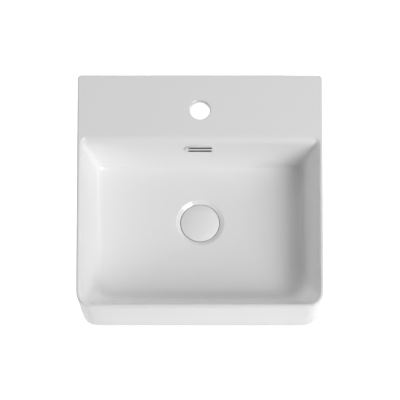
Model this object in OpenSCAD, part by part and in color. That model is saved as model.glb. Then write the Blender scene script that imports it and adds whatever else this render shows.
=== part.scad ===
// Square countertop basin with a tap ledge, an overflow and a push-to-open waste.
// Millimetres, +Z up, the front towards -Y. The countertop's face is z = 0 and the origin is its centre.

/* [Basin] */
// Width of the basin, left to right
basin_w = 420; // [400:1:480]
// Depth of the basin, front to back
basin_d = 420; // [400:1:460]
// Height of the rim above the countertop
basin_h = 130; // [122:1:150]
// How far the front and the sides draw in at the foot
skirt_taper = 9.5; // [6:0.5:14]
// Thickness of the clay wall
wall = 9; // [7:0.5:11]
// Width of the rim along the front and the sides
rim_w = 6; // [5.5:0.5:8]
// Radius of the rim's top edges
rim_edge_r = 2.7; // [2:0.1:2.7]
// Radius of the top edge along the back
back_edge_r = 3; // [1.5:0.5:5]
// Radius of the front corners at the rim
corner_r = 28; // [24:1:34]
// Radius of the front corners at the foot
foot_corner_r = 24.5; // [20:0.5:30]
// Radius of the back corners
back_corner_r = 7; // [6:0.5:12]
// Radius of the edge that the skirt stands on
foot_edge_r = 5; // [3:0.5:5.5]
// Width of the foot ring
foot_w = 16; // [13:0.5:20]
// Height of the foot ring's thick part
foot_h = 12; // [8:0.5:16]
// Least width of the hollow between the skirt and the bowl
hollow_gap = 6; // [4:0.5:9]
// Width of the service notch in the back of the skirt
notch_w = 110; // [80:1:200]
// Height of the service notch
notch_h = 48; // [36:1:60]
// Radius of the service notch's upper corners
notch_r = 12; // [6:1:16]

/* [Tap ledge] */
// Depth of the ledge, from the back edge to the bowl
ledge_d = 121; // [114:0.5:128]
// Thickness of the ledge
ledge_t = 12; // [10:0.5:14]
// Radius of the ledge's edge over the bowl
ledge_edge_r = 12; // [8:0.5:13]
// Diameter of the tap hole
tap_hole_d = 35; // [32:0.5:36]
// Distance of the tap hole's centre from the back edge
tap_hole_from_back = 64; // [56:0.5:68]
// Radius of the tap hole's glazed edge
tap_edge_r = 2; // [1:0.5:3]

/* [Bowl] */
// Depth of the bowl at the foot of its walls
bowl_depth = 93; // [86:0.5:96]
// Fall of the floor from the foot of the walls to the drain
floor_fall = 6; // [4:0.5:7]
// Lean of the side walls from upright, in degrees
side_lean = 17.5; // [16:0.5:21]
// Lean of the front wall from upright, in degrees
front_lean = 25; // [21:0.5:27]
// Lean of the back wall from upright, in degrees
back_lean = 8.5; // [6:0.5:10]
// Radius between the side walls and the floor
side_cove_r = 12; // [10:1:20]
// Radius between the front wall and the floor
front_cove_r = 30; // [24:1:34]
// Radius between the back wall and the floor
back_cove_r = 6; // [4:1:12]
// Radius of the bowl's front corners at the rim
bowl_corner_r = 21; // [16:1:26]
// Radius of the bowl's front corners at the floor
floor_corner_r = 40; // [34:1:46]
// Radius of the bowl's back corners at the ledge
bowl_back_corner_r = 5; // [3:0.5:9]
// Radius of the bowl's back corners at the floor
floor_back_corner_r = 10; // [8:1:30]

/* [Drain] */
// Distance of the drain's centre from the back edge
drain_from_back = 234; // [226:0.5:240]
// Radius of the round recess's wall
recess_r = 34; // [34:0.5:36]
// Width of the dish that slopes down to the recess
recess_dish_w = 8; // [5:0.5:9]
// Depth of the dish
recess_dish_h = 4; // [3:0.5:5]
// Radius between the recess's wall and its seat
recess_cove_r = 3; // [1.5:0.5:3.5]
// Depth of the recess, from the floor to the waste's seat
recess_depth = 12; // [11:0.5:13]
// Diameter of the drain hole under the seat
drain_hole_d = 46; // [45:0.5:48]
// Gap between the drain boss and the countertop
boss_lift = 4; // [2:0.5:5]

/* [Overflow] */
// Height of the overflow's centre below the rim
overflow_drop = 27; // [24:0.5:36]
// Width of the duct behind the bowl
duct_w = 54; // [54:1:60]
// Depth of the duct behind the bowl
duct_d = 11; // [9:0.5:14]
// Height of the duct's run under the floor
duct_low_h = 7; // [5:0.5:8]
// Thickness of the duct's clay
duct_wall = 6; // [5:0.5:6.5]
// Width of the duct where it enters the drain hole
duct_mouth_w = 30; // [24:1:36]

/* [Overflow trim] */
// Width of the trim's face
trim_w = 53.4; // [51:0.2:60]
// Height of the trim's face
trim_h = 21.4; // [20.6:0.2:26]
// Thickness of the trim's face
trim_t = 2.2; // [1.5:0.1:3]
// Wall of the collar that goes into the hole
trim_collar_t = 1.1; // [0.8:0.1:1.2]
// Length of the collar
trim_collar_l = 11; // [8:0.5:14]
// Width of each slot
slot_w = 41; // [36:0.5:42]
// Height of each slot
slot_h = 4.8; // [4.2:0.1:5]
// Distance between the middles of the two slots
slot_pitch = 10.4; // [9.4:0.1:10.6]
// How far the collar stands clear of the slots
slot_margin = 0.3; // [0.2:0.1:0.4]
// Clearance of the collar in its hole, on each side
trim_fit = 0.3; // [0.2:0.05:0.5]

/* [Cap] */
// Diameter of the cap
cap_d = 66; // [64:0.5:67]
// Height of the cap's upright edge
cap_edge_h = 3; // [2:0.5:4]
// Rise of the cap's dome above its edge
cap_dome_h = 5; // [3:0.1:5.5]
// Radius of the cap's lower edge
cap_under_r = 1.2; // [0.6:0.1:1.8]
// Diameter of the brass insert's disc
insert_d = 43; // [36:0.5:43.5]
// Thickness of the insert's disc
insert_t = 2.5; // [2:0.1:3]
// Diameter of the insert's threaded boss
insert_boss_d = 14; // [12:0.5:16]
// Length of the insert's threaded boss
insert_boss_l = 8; // [7:0.5:9]
// Height of the hexagon lock nut
lock_nut_h = 3.6; // [3:0.1:4]
// Width of the lock nut across its flats
lock_nut_af = 13; // [12:0.5:14]
// Thickness of the rubber seal
seal_t = 2.1; // [1.8:0.1:2.6]
// Width of the rubber seal
seal_w = 5; // [4:0.5:5.5]
// Gap between the closed seal and its seat
seal_gap = 0.3; // [0.3:0.05:0.5]

/* [Cartridge] */
// Lift of the cap from closed to open
cap_lift = 9; // [7:0.5:9.5]
// Diameter of the plunger's stem
stem_d = 8; // [6:0.5:9]
// Diameter of the sleeve that screws into the hub
sleeve_d = 16; // [15.5:0.5:17]
// Diameter of the sleeve's bore
sleeve_bore_d = 12.4; // [12:0.1:12.6]
// Diameter of the sleeve's shoulder
shoulder_d = 22; // [21.5:0.5:23]
// Thickness of the sleeve's shoulder
shoulder_t = 2.5; // [2:0.1:3]
// Thickness of the sleeve's top around the stem
sleeve_top_t = 1.6; // [1.2:0.1:2.4]
// Height of the plunger's collar
collar_h = 5.5; // [4:0.5:6.5]
// Diameter of the pin that carries the rotor
pin_d = 5; // [4:0.5:5.5]
// Height of the rotor
rotor_h = 6; // [5:0.5:7]
// Diameter over the rotor's ribs
rotor_d = 11.6; // [11:0.1:11.8]
// Length of the closed spring
spring_l = 10.6; // [9:0.1:13]
// Thickness of the spring's wire
spring_wire = 1; // [0.7:0.1:1.2]
// Thickness of the plug's head
plug_head_t = 2; // [1.5:0.1:3]
// Length of the plug inside the bore
plug_l = 3; // [2:0.5:4]
// Thickness of the ring between the shoulder and the hub
o_ring_t = 1.4; // [1.2:0.1:1.8]

/* [Waste] */
// Outside diameter of the threaded tube, an inch and a quarter pipe thread
tube_d = 41.91; // [41:0.01:43]
// Bore of the tube
tube_bore_d = 36; // [34:0.5:37]
// Length of the waste below the flange
waste_l = 65; // [62:1:90]
// Diameter of the flange
flange_d = 63; // [62:0.5:64]
// Thickness of the flange at its edge
flange_t = 2.8; // [2.4:0.1:3.2]
// Thickness of the flange under the seal
flange_seat_t = 1.7; // [1.3:0.1:2]
// Width of the flange's raised edge
flange_edge_w = 2.5; // [2:0.1:3]
// Width of the undercut between the nut's thread and the trap's
undercut_w = 1.5; // [1:0.1:2.5]
// Depth of the undercut
undercut_t = 0.6; // [0.4:0.1:1]
// Width of an overflow window in the tube
window_w = 16; // [12:1:20]
// Outside diameter of the hub
hub_d = 23; // [22:0.5:25]
// Height of the hub
hub_h = 10; // [8:0.5:12]
// Thickness of the hub's arms
arm_t = 3.5; // [2.5:0.1:5]
// Thickness of the flange's gasket
flange_gasket_t = 1.5; // [1:0.1:2]
// Width of the flange's gasket
flange_gasket_w = 8; // [6:0.5:9]
// Thickness of the rubber washer under the boss
boss_gasket_t = 6; // [5:0.5:8]
// Height of the washer's nose in the drain hole
boss_gasket_nose = 3; // [2:0.5:4]
// Diameter of the washers under the boss
washer_d = 58; // [54:1:62]
// Thickness of the slip washer
slip_washer_t = 2; // [1.5:0.1:3]
// Width of the backing nut across its flats
nut_af = 52; // [48:0.5:56]
// Height of the backing nut
nut_h = 9; // [7:0.5:12]
// Thickness of the backing nut's collar
nut_collar_t = 2.5; // [2:0.1:3.5]

/* [Fits] */
// Clearance of a thread or a running fit, on the radius
fit = 0.05; // [0.03:0.01:0.08]
// Clearance of a loose ring round a tube or in a bore, on the radius
loose = 0.3; // [0.2:0.05:0.4]

/* [Hidden] */

// How far a cut runs past the face that it opens
past = 1;
// Steps round each corner of the lofted clay, and down each curved edge
corner_steps = 8;
curve_steps = 5;
$fn = 72;

// Heights and places of the clay
floor_edge_z = basin_h - bowl_depth;
floor_z = floor_edge_z - floor_fall;
drain_y = basin_d / 2 - drain_from_back;
seat_z = floor_z - recess_depth;
ledge_y = basin_d / 2 - ledge_d;
tap_y = basin_d / 2 - tap_hole_from_back;
roof_z = basin_h - ledge_t;
boss_r = recess_r + recess_dish_w + wall * 2 / 3;
// The hollow ends where the skirt and the bowl's side come within its least width
hollow_z = basin_h
    - (hollow_gap + wall + wall / cos(side_lean) - rim_w) / (tan(side_lean) - skirt_taper / basin_h);

// The overflow: its hole round the trim's collar, its middle on the back wall, and the duct behind
collar_w = slot_w + 2 * (slot_margin + trim_collar_t);
collar_d = slot_pitch + slot_h + 2 * (slot_margin + trim_collar_t);
overflow_w = collar_w + 2 * trim_fit;
overflow_h = collar_d + 2 * trim_fit;
overflow_z = basin_h - overflow_drop;
overflow_y = ledge_y - overflow_drop * tan(back_lean);
duct_front_y = ledge_y + wall + duct_wall / 2;
duct_back_y = duct_front_y + duct_d;
duct_low_z = boss_lift + duct_wall * 2 / 3;
duct_top_z = overflow_z + overflow_h / 2 + past;

// The stack in the drain, from the seat up
flange_z = seat_z + flange_gasket_t;
seal_seat_z = flange_z + flange_seat_t;
cap_z = seal_seat_z + seal_gap + seal_t;
tail_z = flange_z - waste_l;

// The stack under the cap, from the cap down
insert_low_z = cap_z - insert_boss_l;
lock_nut_z = insert_low_z - lock_nut_h;
sleeve_z = lock_nut_z - 2 * loose;
bore_top_z = sleeve_z - sleeve_top_t;
hub_z = sleeve_z - shoulder_t - o_ring_t - 2 * fit;
collar_top_z = bore_top_z - cap_lift - loose;
collar_z = collar_top_z - collar_h;
rotor_z = collar_z - loose - rotor_h;
spring_z = rotor_z - loose - spring_l;
sleeve_low_z = spring_z - plug_l;
spring_d = rotor_d - 2 * loose;
seal_r = insert_d / 2 + loose + seal_w;

// The stack under the boss, from the boss down
slip_washer_z = boss_lift - boss_gasket_t - slip_washer_t;
nut_z = slip_washer_z - nut_h;

// How far a rounded edge of radius r has drawn in at a rise above its start
function edge_in(rise, r) = rise <= 0 ? 0 : r - sqrt(max(0, r * r - rise * rise));

// A value between two others
function mix(from, to, share) = from + (to - from) * share;

// Points round a rectangle with rounded corners, counter-clockwise from the front right corner
function ring(half_w, front, back, front_r, back_r, z) = [
    for (corner = [0 : 3])
        let (
            at_front = corner == 0 || corner == 3,
            r = max(at_front ? front_r : back_r, 0.5),
            x = (corner < 2 ? 1 : -1) * (half_w - r),
            y = at_front ? front + r : back - r
        )
        for (step = [0 : corner_steps])
            let (angle = 90 * (corner - 1 + step / corner_steps))
            [x + r * cos(angle), y + r * sin(angle), z]
];

// How far a leaning wall stands inside its own top edge at height z, down through its cove.
// With grow it is the clay's outer face, that far behind the glaze.
function wall_in(z, lean, cove_r, grow) =
    let (
        cove_z = floor_edge_z + cove_r,
        r = cove_r + grow,
        cove_in = cove_r * cos(lean) + (bowl_depth - cove_r * (1 - sin(lean))) * tan(lean)
    )
    z >= cove_z - r * sin(lean)
        ? (basin_h - z) * tan(lean) - grow / cos(lean)
        : cove_in - sqrt(max(0, r * r - (cove_z - z) * (cove_z - z)));

// The skirt's outline at height z, drawn in by inset
function skirt_ring(z, inset) =
    let (
        draw = skirt_taper * max(0, 1 - z / (basin_h - rim_edge_r)),
        low = inset > 0 ? inset : edge_in(foot_edge_r - z, foot_edge_r),
        side = low + (inset > 0 ? 0 : edge_in(z - basin_h + rim_edge_r, rim_edge_r)),
        rear = low + (inset > 0 ? 0 : edge_in(z - basin_h + back_edge_r, back_edge_r))
    )
    ring(
        basin_w / 2 - draw - side, -basin_d / 2 + draw + side, basin_d / 2 - rear,
        mix(foot_corner_r, corner_r, z / basin_h) - side, back_corner_r - rear, z
    );

// The bowl's outline at height z, on its glaze or, with grow, on the back of the clay
function bowl_ring(z, grow) =
    let (
        share = (basin_h - z) / bowl_depth,
        lip = grow > 0 ? 0 : edge_in(z - basin_h + rim_edge_r, rim_edge_r),
        ledge_lip = grow > 0 ? 0 : edge_in(z - basin_h + ledge_edge_r, ledge_edge_r)
    )
    ring(
        basin_w / 2 - rim_w - wall_in(z, side_lean, side_cove_r, grow) + lip,
        -basin_d / 2 + rim_w + wall_in(z, front_lean, front_cove_r, grow) - lip,
        ledge_y - wall_in(z, back_lean, back_cove_r, grow) + ledge_lip,
        mix(bowl_corner_r, floor_corner_r, share) + lip + grow,
        mix(bowl_back_corner_r, floor_back_corner_r, share) + ledge_lip + grow, z
    );

function drain_ring(r, z) = ring(r, drain_y - r, drain_y + r, r, r, z);

// Heights that crowd together towards the low end, for a cove
function cove_levels(low, high) = [for (i = [curve_steps : -1 : 0]) low + (high - low) * pow(i / curve_steps, 2)];

// Heights down a rounded top edge
function edge_levels(r) = [for (i = [curve_steps : -1 : 0]) basin_h - r + r * sin(90 * i / curve_steps)];

// A solid skinned over a stack of rings that all have as many points
module loft(rings) {
    n = len(rings[0]);
    last = len(rings) - 1;
    sides = [
        for (i = [0 : last - 1])
            for (j = [0 : n - 1])
                let (here = i * n + j, next = i * n + (j + 1) % n)
                for (face = [[here, here + n, next + n], [here, next + n, next]]) face
    ];
    polyhedron(
        points = [for (points = rings) each points],
        faces = concat(
            [[for (j = [0 : n - 1]) j]],
            sides,
            [[for (j = [n - 1 : -1 : 0]) last * n + j]]
        )
    );
}

// A flat oblong with round ends
module oblong(w, h) {
    square([w - h, h], center = true);
    for (side = [-1, 1])
        translate([side * (w - h) / 2, 0])
            circle(d = h);
}

// A ring round the Z axis, from z up
module washer(inner_r, outer_r, z, h) {
    translate([0, 0, z])
        difference() {
            cylinder(r = outer_r, h = h);
            translate([0, 0, -past])
                cylinder(r = inner_r, h = h + 2 * past);
        }
}

// What a round hole of radius r loses with a soft edge, to be cut from a face at z = 0
module soft_mouth(r, edge_r) {
    rotate_extrude()
        difference() {
            translate([0, -edge_r])
                square([r + edge_r, edge_r + past]);
            translate([r + edge_r, -edge_r])
                circle(r = edge_r);
        }
}

// Everything in the drain stands on its axis
module at_drain() {
    translate([0, drain_y, 0])
        children();
}

// The overflow hole's frame: Z out of the back wall into the bowl, Y up along the wall
module at_overflow() {
    translate([0, overflow_y, overflow_z])
        rotate([90 - back_lean, 0, 0])
            children();
}

// The basin's outside and bowl, still solid underneath
module clay_block() {
    side_cove_h = side_cove_r * (1 - sin(side_lean));
    front_cove_h = front_cove_r * (1 - sin(front_lean));
    cove_top_z = floor_edge_z + max(side_cove_h, front_cove_h);
    loft(concat(
        [for (i = [0 : curve_steps]) skirt_ring(foot_edge_r * (1 - cos(90 * i / curve_steps)), 0)],
        [for (i = [curve_steps - 1 : -1 : 0]) skirt_ring(edge_levels(rim_edge_r)[i + 1], 0)],
        [skirt_ring(basin_h, 0)],
        [for (z = edge_levels(ledge_edge_r)) bowl_ring(z, 0)],
        [for (z = cove_levels(floor_edge_z, cove_top_z)) bowl_ring(z, 0)],
        [drain_ring(recess_r + recess_dish_w + past, floor_z)]
    ));
}

// The bowl's own clay, filled in above
module bowl_clay() {
    rings = [for (z = cove_levels(floor_edge_z - wall, floor_edge_z + wall)) bowl_ring(z, wall)];
    loft(concat(
        [drain_ring(boss_r - past, floor_z - wall)],
        [for (i = [curve_steps : -1 : 0]) rings[i]],
        [bowl_ring(basin_h, wall)]
    ));
}

// The clay round the drain hole and round the overflow duct
module boss_and_duct_clay() {
    at_drain()
        translate([0, 0, boss_lift])
            cylinder(r = boss_r, h = floor_z - boss_lift);
    clay_w = duct_w + 2 * duct_wall;
    duct_clay_y = duct_back_y + duct_wall;
    translate([-clay_w / 2, drain_y, boss_lift])
        cube([clay_w, duct_clay_y - drain_y, floor_edge_z - boss_lift]);
    translate([-clay_w / 2, ledge_y - duct_wall, boss_lift])
        cube([clay_w, duct_clay_y - ledge_y + duct_wall, basin_h - boss_lift]);
}

// The hollow underneath, low all round and high under the ledge
module underside_hollow() {
    low_z = foot_h + (foot_w - wall);
    difference() {
        union() {
            loft([
                skirt_ring(-past, foot_w), skirt_ring(foot_h, foot_w),
                skirt_ring(low_z, wall), skirt_ring(hollow_z, wall)
            ]);
            loft([for (z = [low_z + past, roof_z])
                let (inner = basin_w / 2 - skirt_taper - wall - 2 * past)
                ring(
                    inner, ledge_y + wall / cos(back_lean) + past - (basin_h - z) * tan(back_lean),
                    basin_d / 2 - wall - past, wall, wall, z
                )
            ]);
        }
        bowl_clay();
        boss_and_duct_clay();
    }
}

// The overflow's way from the back wall down and forward into the drain hole
module overflow_duct() {
    translate([-duct_w / 2, duct_front_y, duct_low_z])
        cube([duct_w, duct_d, duct_top_z - duct_low_z]);
    translate([0, 0, duct_low_z])
        linear_extrude(duct_low_h)
            polygon([
                [-duct_mouth_w / 2, drain_y], [duct_mouth_w / 2, drain_y],
                [duct_mouth_w / 2, drain_y + drain_hole_d / 2 + wall],
                [duct_w / 2, drain_y + boss_r + wall], [duct_w / 2, duct_back_y],
                [-duct_w / 2, duct_back_y], [-duct_w / 2, drain_y + boss_r + wall],
                [-duct_mouth_w / 2, drain_y + drain_hole_d / 2 + wall]
            ]);
    hole_l = (duct_front_y - overflow_y) / cos(back_lean) + duct_d / 2;
    at_overflow()
        translate([0, 0, -hole_l])
            linear_extrude(hole_l + past)
                oblong(overflow_w, overflow_h);
}

// The notch that lets hoses out at the back
module service_notch() {
    side = notch_w / 2 - notch_r;
    translate([0, basin_d / 2 + past, 0])
        rotate([90, 0, 0])
            linear_extrude(foot_w + 2 * past) {
                translate([-notch_w / 2, -past])
                    square([notch_w, notch_h - notch_r + past]);
                translate([-side, 0])
                    square([2 * side, notch_h]);
                for (x = [-side, side])
                    translate([x, notch_h - notch_r])
                        circle(r = notch_r);
            }
}

// The dish in the floor and the round recess in its middle, down to the flat seat
module drain_recess() {
    dish_r = recess_r + recess_dish_w;
    translate([0, 0, floor_z])
        rotate_extrude() {
            polygon([[0, past], [0, -recess_dish_h], [recess_r, -recess_dish_h], [dish_r, 0], [dish_r, past]]);
            translate([0, -recess_depth + recess_cove_r])
                square([recess_r, recess_depth - recess_cove_r + past]);
            translate([0, -recess_depth])
                square([recess_r - recess_cove_r, recess_cove_r + past]);
            translate([recess_r - recess_cove_r, -recess_depth + recess_cove_r])
                circle(r = recess_cove_r);
        }
}

module basin() {
    color("white")
        difference() {
            clay_block();
            underside_hollow();
            overflow_duct();
            service_notch();
            at_drain() {
                drain_recess();
                cylinder(d = drain_hole_d, h = floor_z);
            }
            translate([0, tap_y, roof_z - past])
                cylinder(d = tap_hole_d, h = ledge_t + 2 * past);
            translate([0, tap_y, basin_h])
                soft_mouth(tap_hole_d / 2, tap_edge_r);
        }
}

module overflow_trim() {
    color("silver")
        at_overflow()
            difference() {
                union() {
                    translate([0, 0, fit])
                        linear_extrude(trim_t)
                            oblong(trim_w, trim_h);
                    translate([0, 0, -trim_collar_l])
                        linear_extrude(trim_collar_l + past)
                            oblong(collar_w, collar_d);
                }
                translate([0, 0, -trim_collar_l - past])
                    linear_extrude(trim_collar_l + past)
                        oblong(collar_w - 2 * trim_collar_t, collar_d - 2 * trim_collar_t);
                for (side = [-1, 1])
                    translate([0, side * slot_pitch / 2, -past])
                        linear_extrude(trim_t + 2 * past)
                            oblong(slot_w, slot_h);
            }
}

module drain_cap() {
    dome_r = (cap_d * cap_d / 4 + cap_dome_h * cap_dome_h) / (2 * cap_dome_h);
    cap_h = cap_edge_h + cap_dome_h;
    color("white")
        at_drain()
            translate([0, 0, cap_z])
                rotate_extrude()
                    difference() {
                        intersection() {
                            square([cap_d / 2, cap_h]);
                            translate([0, cap_h - dome_r])
                                circle(r = dome_r, $fn = 360);
                        }
                        square([insert_d / 2 + loose, insert_t]);
                        translate([cap_d / 2 - cap_under_r, 0])
                            difference() {
                                square(cap_under_r);
                                translate([0, cap_under_r])
                                    circle(r = cap_under_r);
                            }
                    }
}

module cap_insert() {
    color("goldenrod")
        at_drain()
            difference() {
                union() {
                    translate([0, 0, cap_z])
                        cylinder(d = insert_d, h = insert_t);
                    translate([0, 0, insert_low_z])
                        cylinder(d = insert_boss_d, h = insert_boss_l + insert_t);
                }
                translate([0, 0, insert_low_z - past])
                    cylinder(d = stem_d + 2 * fit, h = insert_boss_l + past + insert_t / 2);
            }
}

module cap_seal() {
    color("dimgray")
        at_drain()
            washer(insert_d / 2 + loose, seal_r, cap_z - seal_t, seal_t);
}

module plunger() {
    color("goldenrod")
        at_drain() {
            translate([0, 0, collar_z])
                cylinder(d = stem_d, h = cap_z - collar_z);
            translate([0, 0, collar_z])
                cylinder(d = sleeve_bore_d - 2 * fit, h = collar_h);
            translate([0, 0, rotor_z - pin_d / 2])
                cylinder(d = pin_d, h = collar_z - rotor_z + pin_d / 2 + past);
        }
}

module cap_lock_nut() {
    color("silver")
        at_drain()
            difference() {
                translate([0, 0, lock_nut_z])
                    cylinder(d = lock_nut_af / cos(30), h = lock_nut_h, $fn = 6);
                translate([0, 0, lock_nut_z - past])
                    cylinder(d = stem_d + 2 * fit, h = lock_nut_h + 2 * past);
            }
}

module cartridge_housing() {
    color("goldenrod")
        at_drain()
            difference() {
                union() {
                    translate([0, 0, sleeve_low_z])
                        cylinder(d = sleeve_d, h = sleeve_z - sleeve_low_z);
                    translate([0, 0, sleeve_z - shoulder_t])
                        cylinder(d = shoulder_d, h = shoulder_t);
                }
                translate([0, 0, sleeve_low_z - past])
                    cylinder(d = sleeve_bore_d, h = bore_top_z - sleeve_low_z + past);
                translate([0, 0, bore_top_z - past])
                    cylinder(d = stem_d + 2 * fit, h = sleeve_top_t + 2 * past);
            }
}

module cartridge_o_ring() {
    ring_r = (hub_d / 2 + sleeve_d / 2) / 2;
    color("dimgray")
        at_drain()
            translate([0, 0, hub_z + fit + o_ring_t / 2])
                rotate_extrude()
                    translate([ring_r, 0])
                        circle(d = o_ring_t);
}

module ratchet_rotor() {
    rib_count = 4;
    rib_t = rotor_d / 6;
    core_d = rotor_d - 2 * rib_t;
    color("ivory")
        at_drain()
            difference() {
                union() {
                    translate([0, 0, rotor_z])
                        cylinder(d = core_d, h = rotor_h);
                    intersection() {
                        translate([0, 0, rotor_z])
                            cylinder(d = rotor_d, h = rotor_h);
                        for (rib = [0 : rib_count - 1])
                            rotate(rib * 360 / rib_count)
                                translate([0, -rib_t / 2, rotor_z])
                                    rotate([90, 0, 90])
                                        linear_extrude(rotor_d)
                                            polygon([
                                                [0, 0], [rib_t, 0], [rib_t, rotor_h - rib_t], [0, rotor_h]
                                            ]);
                    }
                }
                translate([0, 0, rotor_z - past])
                    cylinder(d = pin_d + 2 * fit, h = rotor_h + 2 * past);
            }
}

module cartridge_spring() {
    color("gray")
        at_drain()
            washer(spring_d / 2 - spring_wire, spring_d / 2, spring_z, spring_l);
}

module cartridge_plug() {
    color("goldenrod")
        at_drain() {
            translate([0, 0, sleeve_low_z - plug_head_t])
                cylinder(d = sleeve_d, h = plug_head_t);
            translate([0, 0, sleeve_low_z - plug_head_t / 2])
                cylinder(d = sleeve_bore_d - 2 * fit, h = plug_head_t / 2 + plug_l);
        }
}

module waste_body() {
    tube_r = tube_d / 2;
    bore_r = tube_bore_d / 2;
    flange_r = flange_d / 2;
    dish_r = flange_r - flange_edge_w;
    throat_r = insert_d / 2;
    undercut_r = tube_r - undercut_t;
    undercut_z = nut_z - past;
    color("gainsboro")
        at_drain() {
            difference() {
                rotate_extrude()
                    polygon([
                        [bore_r, tail_z], [tube_r, tail_z],
                        [tube_r, undercut_z - undercut_w], [undercut_r, undercut_z - undercut_w],
                        [undercut_r, undercut_z], [tube_r, undercut_z],
                        [tube_r, flange_z], [flange_r, flange_z],
                        [flange_r, flange_z + flange_t], [dish_r, flange_z + flange_t],
                        [dish_r - (flange_t - flange_seat_t) / 2, seal_seat_z], [throat_r, seal_seat_z],
                        [bore_r, seal_seat_z - (throat_r - bore_r)]
                    ]);
                for (turn = [0 : 90 : 270])
                    rotate(turn)
                        translate([-window_w / 2, 0, duct_low_z])
                            cube([window_w, tube_d, duct_low_h]);
            }
            difference() {
                union() {
                    translate([0, 0, hub_z - hub_h])
                        cylinder(d = hub_d, h = hub_h);
                    for (turn = [0 : 120 : 240])
                        rotate(turn)
                            translate([hub_d / 2 - past, -arm_t / 2, hub_z - hub_h])
                                cube([(bore_r + tube_r) / 2 - hub_d / 2 + past, arm_t, hub_h * 2 / 3]);
                }
                translate([0, 0, hub_z - hub_h - past])
                    cylinder(d = sleeve_d + 2 * fit, h = hub_h + 2 * past);
            }
        }
}

module flange_gasket() {
    color("black")
        at_drain()
            washer(tube_d / 2 + loose, tube_d / 2 + loose + flange_gasket_w, seat_z, flange_gasket_t);
}

module boss_gasket() {
    color("dimgray")
        at_drain() {
            washer(tube_d / 2 + loose, washer_d / 2, boss_lift - boss_gasket_t, boss_gasket_t);
            washer(
                tube_d / 2 + loose, drain_hole_d / 2 - loose,
                boss_lift - boss_gasket_t / 2, boss_gasket_t / 2 + boss_gasket_nose
            );
        }
}

module slip_washer() {
    color("white")
        at_drain()
            washer(tube_d / 2 + loose, washer_d / 2, slip_washer_z, slip_washer_t);
}

module backing_nut() {
    color("goldenrod")
        at_drain()
            difference() {
                union() {
                    translate([0, 0, nut_z])
                        cylinder(d = nut_af / cos(30), h = nut_h, $fn = 6);
                    translate([0, 0, slip_washer_z - nut_collar_t])
                        cylinder(d = washer_d, h = nut_collar_t);
                }
                translate([0, 0, nut_z - past])
                    cylinder(d = tube_d + 2 * fit, h = nut_h + 2 * past);
            }
}

basin();
overflow_trim();
drain_cap();
cap_insert();
cap_seal();
plunger();
cap_lock_nut();
cartridge_housing();
cartridge_o_ring();
ratchet_rotor();
cartridge_spring();
cartridge_plug();
waste_body();
flange_gasket();
boss_gasket();
slip_washer();
backing_nut();
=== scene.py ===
from math import cos, pi, radians, sin, sqrt, tan

import bmesh
import bpy
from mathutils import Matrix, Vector


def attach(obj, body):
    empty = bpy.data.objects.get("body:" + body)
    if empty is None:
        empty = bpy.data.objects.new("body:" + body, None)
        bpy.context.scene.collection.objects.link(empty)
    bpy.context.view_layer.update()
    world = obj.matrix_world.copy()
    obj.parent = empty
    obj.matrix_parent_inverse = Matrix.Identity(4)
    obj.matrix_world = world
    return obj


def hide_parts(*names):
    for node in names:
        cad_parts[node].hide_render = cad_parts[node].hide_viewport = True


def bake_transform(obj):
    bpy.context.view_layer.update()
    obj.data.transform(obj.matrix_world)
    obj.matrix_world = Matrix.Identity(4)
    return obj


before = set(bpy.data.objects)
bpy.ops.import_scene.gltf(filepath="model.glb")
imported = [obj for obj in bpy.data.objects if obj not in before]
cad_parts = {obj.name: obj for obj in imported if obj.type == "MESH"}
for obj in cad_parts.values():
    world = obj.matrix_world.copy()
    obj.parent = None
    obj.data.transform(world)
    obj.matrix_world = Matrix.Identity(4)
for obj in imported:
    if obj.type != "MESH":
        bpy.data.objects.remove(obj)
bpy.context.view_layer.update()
MM = 0.001


# The basin body. White vitreous china, slip-cast in a plaster mould as one piece and fired with its glaze.
# The skirt, the thin rim, the tap ledge and the bowl are one shell over a hollow underside; only the foot
# that stands on the countertop is wiped bare of glaze.
BASIN_W, BASIN_D, BASIN_H = 420 * MM, 420 * MM, 130 * MM
SKIRT_TAPER, RIM_W, RIM_EDGE, BACK_EDGE, FOOT_EDGE = 9.5 * MM, 6 * MM, 2.7 * MM, 3 * MM, 5 * MM
FOOT_CORNER, FOOT_CORNER_GROWS, BACK_CORNER = 24.5 * MM, 3.5 * MM, 7 * MM
WALL, FOOT_W, FOOT_H = 9 * MM, 16 * MM, 12 * MM
LEDGE_Y, LEDGE_EDGE = 89 * MM, 12 * MM
BOWL_DEPTH, FLOOR_Z, FLOOR_EDGE_Z = 93 * MM, 31 * MM, 37 * MM
SIDE_LEAN, FRONT_LEAN, BACK_LEAN = radians(17.5), radians(25), radians(8.5)
SIDE_COVE, FRONT_COVE, BACK_COVE = 12 * MM, 30 * MM, 6 * MM
BOWL_CORNER, BOWL_CORNER_GROWS, LEDGE_CORNER, LEDGE_CORNER_GROWS = 21 * MM, 19 * MM, 5 * MM, 5 * MM
DRAIN_Y, RECESS_R, RECESS_COVE, SEAT_Z = -24 * MM, 34 * MM, 3 * MM, 19 * MM
DISH_W, DISH_H, ROUND_R, ROUND_Z = 8 * MM, 4 * MM, 46 * MM, 31.2 * MM
DRAIN_HOLE_R, BOSS_R, BOSS_Z, BOSS_EDGE = 23 * MM, 48 * MM, 4 * MM, 2 * MM
SAME = 1e-6  # two places nearer than this many metres are one


def new_mesh(name):
    """An empty mesh object in edit mode, ready for primitives at their own places."""
    bpy.ops.object.select_all(action="DESELECT")
    piece = bpy.data.objects.new(name, bpy.data.meshes.new(name))
    bpy.context.collection.objects.link(piece)
    bpy.context.view_layer.objects.active = piece
    piece.select_set(True)
    bpy.ops.object.mode_set(mode="EDIT")
    bpy.ops.mesh.select_mode(type="VERT")
    return piece


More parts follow.
